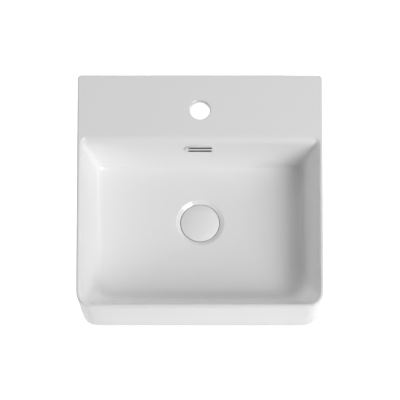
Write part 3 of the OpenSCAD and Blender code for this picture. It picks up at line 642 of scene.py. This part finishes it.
# The cartridge's sleeve. Turned brass, threaded outside and screwed into the waste's hub by a knurled
# shoulder; the plunger's collar, the rotor and the spring work in its bore.
SLEEVE_R, SLEEVE_BORE, SLEEVE_LOW, SLEEVE_TOP = 8 * MM, 6.2 * MM, -24.2 * MM, 12.4 * MM
SHOULDER_R, SHOULDER_LOW, BORE_TOP, SLEEVE_THREAD_TOP = 11 * MM, 9.9 * MM, 10.8 * MM, 7.5 * MM
KNURL_STEPS, KNURL_DEPTH = 144, 0.025
lead = 0.4 * MM
sleeve = lathe("cartridge_sleeve", [(SLEEVE_R - 3 * lead, SLEEVE_LOW), (SLEEVE_R - lead, SLEEVE_LOW),
                                    (SLEEVE_R, SLEEVE_LOW + lead), (SLEEVE_R, SHOULDER_LOW + MM),
                                    (SLEEVE_R, SLEEVE_TOP - lead), (SLEEVE_R - lead, SLEEVE_TOP),
                                    (SLEEVE_R - 3 * lead, SLEEVE_TOP)], middle=drain.xy)
shoulder = new_mesh("shoulder")
lead = 0.3 * MM
turned([(SHOULDER_R - lead, SHOULDER_LOW), (SHOULDER_R, SHOULDER_LOW + lead),
        (SHOULDER_R, SLEEVE_TOP - lead), (SHOULDER_R - lead, SLEEVE_TOP)], KNURL_STEPS, drain.xy)
pick(lambda v: int(((v.co - drain).xy.angle_signed(Vector((1, 0))) / pi + 1) * KNURL_STEPS / 2 + 0.5) % 4 < 2)
bpy.ops.transform.resize(value=(1 - KNURL_DEPTH, 1 - KNURL_DEPTH, 1), center_override=drain)
pick(lambda e: e.is_boundary, "edges")
bpy.ops.mesh.edge_face_add()
bpy.ops.mesh.select_all(action="SELECT")
bpy.ops.mesh.normals_make_consistent(inside=False)
finish_mesh(shoulder)
use(shoulder, sleeve, "UNION")
use(lathe("sleeve_bore", [(SLEEVE_BORE + lead, SLEEVE_LOW - MM), (SLEEVE_BORE + lead, SLEEVE_LOW),
                          (SLEEVE_BORE, SLEEVE_LOW + lead), (SLEEVE_BORE, BORE_TOP)], middle=drain.xy),
    sleeve)
use(lathe("stem_bore", [(STEM_R + BORE_FIT, BORE_TOP - MM), (STEM_R + BORE_FIT, SLEEVE_TOP - lead),
                        (STEM_R + 0.5 * MM, SLEEVE_TOP + lead / 2)], middle=drain.xy), sleeve)
thread(sleeve, SLEEVE_R, pitch=MM, depth=0.6 * MM, low=SLEEVE_LOW - 2 * MM, high=SLEEVE_THREAD_TOP)
dressed(sleeve, "cartridge_housing", "brass", "basin_set", BRASS)


# The cartridge's O-ring. A black rubber ring pressed flat between the sleeve's shoulder and the waste's hub,
# with the thin mould line of its two halves round its outside.
O_RING_R, O_RING_T, O_RING_Z, SQUEEZED, MOULD_LINE = 9.75 * MM, 1.4 * MM, 9.15 * MM, 0.64 * MM, 0.03 * MM
flattened = [(r, O_RING_Z + max(-SQUEEZED, min(SQUEEZED, z)))
             for r, z in arc_points(O_RING_R, 0, O_RING_T / 2, 12, 348, 14)]
line = [(O_RING_R + O_RING_T / 2 + MOULD_LINE, O_RING_Z)]
o_ring = ring("cartridge_o_ring_rubber", flattened + line, steps=72)
dressed(o_ring, "cartridge_o_ring", "rubber", "basin_set", RUBBER)


# The ratchet rotor. Moulded acetal, a short barrel with four ribs whose tops slope to one side; each push
# turns it an eighth of a turn on the plunger's pin, so the cap stays down or springs up.
ROTOR_LOW, ROTOR_H, ROTOR_R, RIB_FOOT = -10.3 * MM, 6 * MM, 5.8 * MM, 2 * MM
RIB_T, ROTOR_TOP, lead = ROTOR_R / 3, ROTOR_LOW + ROTOR_H, 0.2 * MM
barrel_r = ROTOR_R - RIB_T
rotor = lathe("ratchet_rotor_acetal", [(barrel_r - lead, ROTOR_LOW), (barrel_r, ROTOR_LOW + lead),
                                       (barrel_r, ROTOR_TOP - lead), (barrel_r - lead, ROTOR_TOP)],
              middle=drain.xy)
for turn in range(4):
    rib = new_mesh("rib")
    middle = Vector(((ROTOR_R + RIB_FOOT) / 2, 0, ROTOR_LOW + ROTOR_H / 2))
    bpy.ops.mesh.primitive_cube_add(size=1, location=middle)
    bpy.ops.transform.resize(value=(ROTOR_R - RIB_FOOT, RIB_T, ROTOR_H), center_override=middle)
    pick(lambda v: v.co.z > ROTOR_LOW + MM and v.co.y > 0)
    bpy.ops.transform.translate(value=(0, 0, -RIB_T))
    pick(lambda e: e.calc_length() > 1.5 * MM, "edges")
    bpy.ops.mesh.bevel(offset=lead, segments=2)
    bpy.ops.mesh.select_all(action="SELECT")
    bpy.ops.transform.rotate(value=-turn * pi / 2, orient_axis="Z", center_override=(0, 0, 0))
    bpy.ops.transform.translate(value=drain)
    use(finish_mesh(rib), rotor, "UNION")
bored(rotor, PIN_R + BORE_FIT, ROTOR_LOW, ROTOR_TOP, lead=0.15 * MM)
# Acetal: milky ivory white, waxy, smooth from the mould
ACETAL = surface("moulded_acetal", "E6E2D6", rough=(0.32, 0.45), patch=4 * MM, grain=1.2 * MM,
                 depth=0.008 * MM, IOR=1.48)
dressed(rotor, "ratchet_rotor", "acetal", "rotor", ACETAL)


# The cartridge's spring. Seven turns of one millimetre spring wire between the plug and the rotor, the end
# turns wound close; it lifts the cap and stretches with it.
SPRING_LOW, SPRING_TOP, WIRE, COIL_R, OPEN_TURNS = -21.2 * MM, -10.6 * MM, MM, 5 * MM, 5


def coil(name, low, rise, turns):
    """A stretch of wire: a circle stood upright beside the axis and wound up by a screw modifier."""
    piece = new_mesh(name)
    bpy.ops.mesh.primitive_circle_add(vertices=12, radius=WIRE / 2, location=(COIL_R, 0, low),
                                      rotation=(pi / 2, 0, 0))
    finish_mesh(piece, ("SCREW", {"axis": "Z", "angle": 2 * pi, "screw_offset": rise, "iterations": turns,
                                  "steps": 32, "render_steps": 32}))
    return piece


close_rise = WIRE * 1.01
open_rise = (SPRING_TOP - SPRING_LOW - WIRE - 2 * close_rise) / OPEN_TURNS
stretches = [coil("spring_foot", SPRING_LOW + WIRE / 2, close_rise, 1),
             coil("spring_middle", SPRING_LOW + WIRE / 2 + close_rise, open_rise, OPEN_TURNS),
             coil("cartridge_spring_wire", SPRING_TOP - WIRE / 2 - close_rise, close_rise, 1)]
spring = stretches[-1]
bpy.ops.object.select_all(action="DESELECT")
for stretch in stretches:
    stretch.select_set(True)
bpy.context.view_layer.objects.active = spring
bpy.ops.object.join()
bpy.ops.object.mode_set(mode="EDIT")
bpy.ops.mesh.select_all(action="SELECT")
bpy.ops.mesh.remove_doubles(threshold=5e-6)
bpy.ops.mesh.fill_holes(sides=0)
bpy.ops.mesh.normals_make_consistent(inside=False)
bpy.ops.transform.translate(value=drain)
finish_mesh(spring)
# Drawn spring wire: grey steel, brushed along its length by the die
WIRE_STEEL = surface("drawn_spring_steel", "A9ABAF", rough=(0.25, 0.4), patch=3 * MM, grain=0.5 * MM,
                     depth=0.006 * MM, Metallic=1)
dressed(spring, "cartridge_spring", "spring_steel", None, WIRE_STEEL)
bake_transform(spring)


# The cartridge's plug. A turned brass disc whose shank is pressed into the sleeve's lower end; it carries the
# spring, and a slot across its face takes the blade that fitted it.
PLUG_LOW, PLUG_TOP = -26.2 * MM, -21.2 * MM
shank_r, face_edge, joint_edge, shank_edge = SLEEVE_BORE - BORE_FIT, 0.5 * MM, 0.1 * MM, 0.3 * MM
plug = lathe("cartridge_plug_brass", [(MM, PLUG_LOW), (SLEEVE_R - face_edge, PLUG_LOW),
                                      (SLEEVE_R, PLUG_LOW + face_edge), (SLEEVE_R, SLEEVE_LOW - joint_edge),
                                      (SLEEVE_R - joint_edge, SLEEVE_LOW), (shank_r, SLEEVE_LOW),
                                      (shank_r, PLUG_TOP - shank_edge), (shank_r - shank_edge, PLUG_TOP),
                                      (MM, PLUG_TOP)], middle=drain.xy)
use(block("blade_slot", (-9, -24.7, -27), (9, -23.3, -25.4)), plug)
dressed(plug, "cartridge_plug", "brass", "basin_set", BRASS)


# The waste body. Turned and chrome-plated brass: a dished flange on the recess's seat, a threaded tube down
# through the drain hole, four windows that let the overflow in, and a three-armed hub for the cartridge.
TUBE_R, TUBE_BORE, TAIL_Z, TAIL_EDGE = 20.955 * MM, 18 * MM, -44.5 * MM, 0.8 * MM
NECK_TOP, NECK_LOW, NECK_R = -14 * MM, -15.5 * MM, 20.355 * MM
FLANGE_R, FLANGE_LOW, FLANGE_TOP, FLANGE_EDGE = 31.5 * MM, 20.5 * MM, 23.3 * MM, 0.8 * MM
FLANGE_DISH_Z, FLANGE_DISH_R = 22.2 * MM, 29 * MM
HUB_R, HUB_LOW, HUB_TOP, ARM_T, ARM_TOP = 11.5 * MM, -1.6 * MM, 8.4 * MM, 3.5 * MM, 5.07 * MM
WINDOW_SIZE, WINDOW_Z, WINDOW_CORNER = (8 * MM, 16 * MM, 7 * MM), 11.5 * MM, 2 * MM
lead = 0.3 * MM
waste = ring("waste_body_plated", [(TUBE_BORE + TAIL_EDGE / 2, TAIL_Z), (TUBE_R - TAIL_EDGE, TAIL_Z),
                                   (TUBE_R, TAIL_Z + TAIL_EDGE), (TUBE_R, NECK_LOW),
                                   (NECK_R, NECK_LOW + lead), (NECK_R, NECK_TOP - lead), (TUBE_R, NECK_TOP),
                                   (TUBE_R, FLANGE_LOW - lead), (TUBE_R + lead, FLANGE_LOW),
                                   (FLANGE_R - FLANGE_EDGE / 2, FLANGE_LOW)]
             + arc_points(FLANGE_R - FLANGE_EDGE, FLANGE_TOP - FLANGE_EDGE, FLANGE_EDGE, -20, 90, 6)
             + [(FLANGE_DISH_R, FLANGE_TOP), (FLANGE_DISH_R - lead, FLANGE_TOP - lead / 2),
                (FLANGE_DISH_R - 0.85 * MM, FLANGE_DISH_Z), (INSERT_R + 2 * lead, FLANGE_DISH_Z),
                (INSERT_R, FLANGE_DISH_Z - lead), (TUBE_BORE + lead, FLANGE_DISH_Z - 3.2 * MM),
                (TUBE_BORE, FLANGE_DISH_Z - 3.8 * MM), (TUBE_BORE, TAIL_Z + TAIL_EDGE / 2)], steps=96)
lead = 0.5 * MM
hub = lathe("hub", [(HUB_R - lead, HUB_LOW), (HUB_R, HUB_LOW + lead), (HUB_R, HUB_TOP - lead),
                    (HUB_R - lead, HUB_TOP)], middle=drain.xy)
for turn in range(3):
    arm = new_mesh("arm")
    reach = (HUB_R - MM, (TUBE_BORE + TUBE_R) / 2)
    middle = Vector((sum(reach) / 2, 0, (HUB_LOW + ARM_TOP) / 2))
    bpy.ops.mesh.primitive_cube_add(size=1, location=middle)
    bpy.ops.transform.resize(value=(reach[1] - reach[0], ARM_T, ARM_TOP - HUB_LOW), center_override=middle)
    pick(lambda e: abs(e.verts[0].co.x - e.verts[1].co.x) > MM, "edges")
    bpy.ops.mesh.bevel(offset=0.8 * MM, segments=3)
    bpy.ops.mesh.select_all(action="SELECT")
    bpy.ops.transform.rotate(value=-turn * 2 * pi / 3, orient_axis="Z", center_override=(0, 0, 0))
    bpy.ops.transform.translate(value=drain)
    use(finish_mesh(arm), hub, "UNION")
bored(hub, SLEEVE_R + BORE_FIT, HUB_LOW, HUB_TOP, lead=0.3 * MM)
use(hub, waste, "UNION")
for turn in range(4):
    window = new_mesh("window")
    bpy.ops.mesh.primitive_cube_add(size=1, location=(TUBE_R, 0, WINDOW_Z))
    bpy.ops.transform.resize(value=WINDOW_SIZE, center_override=(TUBE_R, 0, WINDOW_Z))
    pick(lambda e: abs(e.verts[0].co.x - e.verts[1].co.x) > MM, "edges")
    bpy.ops.mesh.bevel(offset=WINDOW_CORNER, segments=4)
    bpy.ops.mesh.select_all(action="SELECT")
    bpy.ops.transform.rotate(value=-turn * pi / 2, orient_axis="Z", center_override=(0, 0, 0))
    bpy.ops.transform.translate(value=drain)
    use(finish_mesh(window), waste)
thread(waste, TUBE_R, pitch=2.309 * MM, depth=1.2 * MM, low=TAIL_Z - 3 * MM, high=NECK_LOW + 0.4 * MM,
       steps=64)
dressed(waste, "waste_body", "plated_brass", "basin_set", PLATED)


# The flange's gasket. A soft rubber ring that beds the waste's flange on the glazed seat, and keeps water
# from creeping under it.
FLANGE_GASKET_OUT, GASKET_IN = 29.255 * MM, 21.255 * MM
flange_gasket = rubber_ring("flange_gasket_rubber", GASKET_IN, FLANGE_GASKET_OUT, SEAT_Z, FLANGE_LOW,
                            soft=0.5 * MM)
dressed(flange_gasket, "flange_gasket", "rubber", "basin_set", RUBBER)


# The gasket under the boss. A thick moulded rubber washer with a nose that centres it in the drain hole and a
# face that slopes a little to its edge, squeezed by the backing nut.
GASKET_OUT, GASKET_LOW, GASKET_SOFT, NOSE_R, NOSE_TOP = 29 * MM, -2 * MM, 0.8 * MM, 22.7 * MM, 7 * MM
boss_gasket = ring("boss_gasket_rubber",
                   arc_points(GASKET_OUT - GASKET_SOFT, BOSS_Z - GASKET_SOFT, GASKET_SOFT, 90, -20, 4)
                   + arc_points(GASKET_OUT - 1.1 * MM, GASKET_LOW + GASKET_SOFT, GASKET_SOFT, 0, -90, 3)
                   + [(GASKET_IN + 0.3 * MM, GASKET_LOW), (GASKET_IN, GASKET_LOW + 0.3 * MM),
                      (GASKET_IN, NOSE_TOP - 0.4 * MM), (GASKET_IN + 0.4 * MM, NOSE_TOP),
                      (NOSE_R - 0.5 * MM, NOSE_TOP), (NOSE_R, NOSE_TOP - 0.7 * MM),
                      (NOSE_R, BOSS_Z + 0.2 * MM), (NOSE_R + 0.2 * MM, BOSS_Z)], steps=72)
dressed(boss_gasket, "boss_gasket", "rubber", "basin_set", RUBBER)


# The slip washer. A thin polythene ring between the rubber and the nut, which lets the nut turn without
# dragging the rubber.
WASHER_LOW = -4 * MM
slip_washer = rubber_ring("slip_washer_polythene", GASKET_IN, GASKET_OUT, WASHER_LOW, GASKET_LOW,
                          soft=0.4 * MM)
# Polythene: translucent white that looks bluish grey and waxy, with a soft sheen
POLYTHENE = surface("moulded_polythene", "DCDFDE", rough=(0.3, 0.42), patch=6 * MM, grain=2 * MM,
                    depth=0.01 * MM, IOR=1.51, **{"Subsurface Weight": 0.15, "Subsurface Scale": MM})
dressed(slip_washer, "slip_washer", "polythene", "basin_set", POLYTHENE)


# The backing nut. A large forged and turned brass nut with a round collar, its corners turned off, that pulls
# the waste down on its gaskets.
BACK_NUT_LOW, BACK_NUT_FLATS, NUT_COLLAR_R, NUT_COLLAR_T = -13 * MM, 52 * MM, 29 * MM, 2.5 * MM
back_nut = hexagon("backing_nut_brass", BACK_NUT_FLATS, BACK_NUT_LOW, WASHER_LOW, lead=1.8 * MM)
collar_z, lead = WASHER_LOW - NUT_COLLAR_T, 0.4 * MM
use(lathe("collar", [(NUT_COLLAR_R - MM, collar_z), (NUT_COLLAR_R - lead, collar_z),
                     (NUT_COLLAR_R, collar_z + lead), (NUT_COLLAR_R, WASHER_LOW - lead),
                     (NUT_COLLAR_R - lead, WASHER_LOW), (NUT_COLLAR_R - MM, WASHER_LOW)],
          steps=96, middle=drain.xy), back_nut, "UNION")
bored(back_nut, TUBE_R + BORE_FIT, BACK_NUT_LOW, WASHER_LOW, lead=0.5 * MM)
dressed(back_nut, "backing_nut", "brass", "basin_set", BRASS, angle=25)


# The view: a camera far off, nearly straight above, as in a catalogue picture
camera = bpy.data.objects.new("camera", bpy.data.cameras.new("camera"))
bpy.context.collection.objects.link(camera)
bpy.context.scene.camera = camera
camera.data.sensor_width = 36
camera.data.lens = 524.9  # millimetres: at ten metres the basin is then as wide as in the picture
camera.data.clip_end = 60
elevation = radians(70.8)
target = Vector((0, 0, 65 * MM))
CAMERA_DISTANCE, PHOTO_WIDTH, PHOTO_SHIFT = 10, 400, 2.8  # metres and, for the last two, pixels
camera.location = target + CAMERA_DISTANCE * Vector((0, -cos(elevation), sin(elevation)))
camera.rotation_euler = (pi / 2 - elevation, 0, 0)
camera.data.shift_y = PHOTO_SHIFT / PHOTO_WIDTH

bpy.context.scene.view_settings.view_transform = "Standard"
world = bpy.data.worlds.new("studio")
bpy.context.scene.world = world
world.use_nodes = True


def shown(tree, direct, mirrored, rest=0.0):
    """A strength for rays from the camera, another for rays by way of a mirror or a glass, and the rest's."""
    rays = add(tree, "ShaderNodeLightPath").outputs
    sharp = add(tree, "ShaderNodeMath", {"operation": "MAXIMUM"},
                {0: rays["Is Glossy Ray"], 1: rays["Is Transmission Ray"]}).outputs[0]
    far = add(tree, "ShaderNodeMapRange", {}, {"Value": sharp, "To Min": rest, "To Max": mirrored}).outputs[0]
    return add(tree, "ShaderNodeMapRange", {},
               {"Value": rays["Is Camera Ray"], "To Min": far, "To Max": direct}).outputs[0]


# The sky: plain white to the camera and in the glaze's mirror, and a dim even light on everything else
AMBIENT = 0.1
tree = world.node_tree
tree.nodes["Background"].inputs["Color"].default_value = (1, 1, 1, 1)
sky = shown(tree, direct=1.0, mirrored=1.0, rest=AMBIENT)
tree.links.new(sky, tree.nodes["Background"].inputs["Strength"])

# A tall soft box and a small one at the front right are the key, and the glaze mirrors them. Weak lamps all
# round fill in, two of them low, behind and on the left, so that they reach the walls across the bowl but not
# their feet. Each has its azimuth and rise in degrees, width and height in metres and power in watts
LAMP_DISTANCE = 5
for name, azimuth, rise, width, height, power in (
        ("key_box", -45, 40, 1.25, 2.65, 128), ("high_box", -30, 50, 1.25, 1.25, 35),
        ("low_back_fill", 90, 16, 0.75, 0.75, 48), ("low_left_fill", 180, 11, 0.5, 0.5, 30),
        ("back_fill", 90, 50, 2.5, 2.5, 27), ("right_fill", 0, 30, 2.5, 2.5, 14),
        ("front_fill", -90, 25, 2.5, 2.5, 11)):
    lamp = bpy.data.objects.new(name, bpy.data.lights.new(name, "AREA"))
    bpy.context.collection.objects.link(lamp)
    lamp.data.shape = "RECTANGLE"
    lamp.data.size, lamp.data.size_y = width, height
    lamp.data.energy = power
    lamp.visible_glossy = name.endswith("box")
    away = Vector((cos(radians(rise)) * cos(radians(azimuth)), cos(radians(rise)) * sin(radians(azimuth)),
                   sin(radians(rise))))
    lamp.location = target + LAMP_DISTANCE * away
    lamp.rotation_euler = away.to_track_quat("Z", "Y").to_euler()

# The floor is cut out round the basin's foot, where the waste's tail goes down and a view from below looks in
FLOOR_SIZE, CUT_OUT = 8, 410 * MM
floor = new_mesh("floor")
bpy.ops.mesh.primitive_plane_add(size=FLOOR_SIZE)
bpy.ops.mesh.inset(thickness=(FLOOR_SIZE - CUT_OUT) / 2)
bpy.ops.mesh.delete(type="FACE")
bpy.ops.mesh.select_all(action="SELECT")
bpy.ops.mesh.normals_make_consistent(inside=False)
finish_mesh(floor)
paper = bpy.data.materials.new("white_paper_sweep")
paper.use_nodes = True
tree = paper.node_tree
matt = tree.nodes["Principled BSDF"]
matt.inputs["Base Color"].default_value = hex_colour("F2F2F2")
matt.inputs["Roughness"].default_value = 0.9
matt.inputs["Emission Color"].default_value = (1, 1, 1, 1)
tree.links.new(shown(tree, direct=0.9, mirrored=0.35), matt.inputs["Emission Strength"])
floor.data.materials.append(paper)
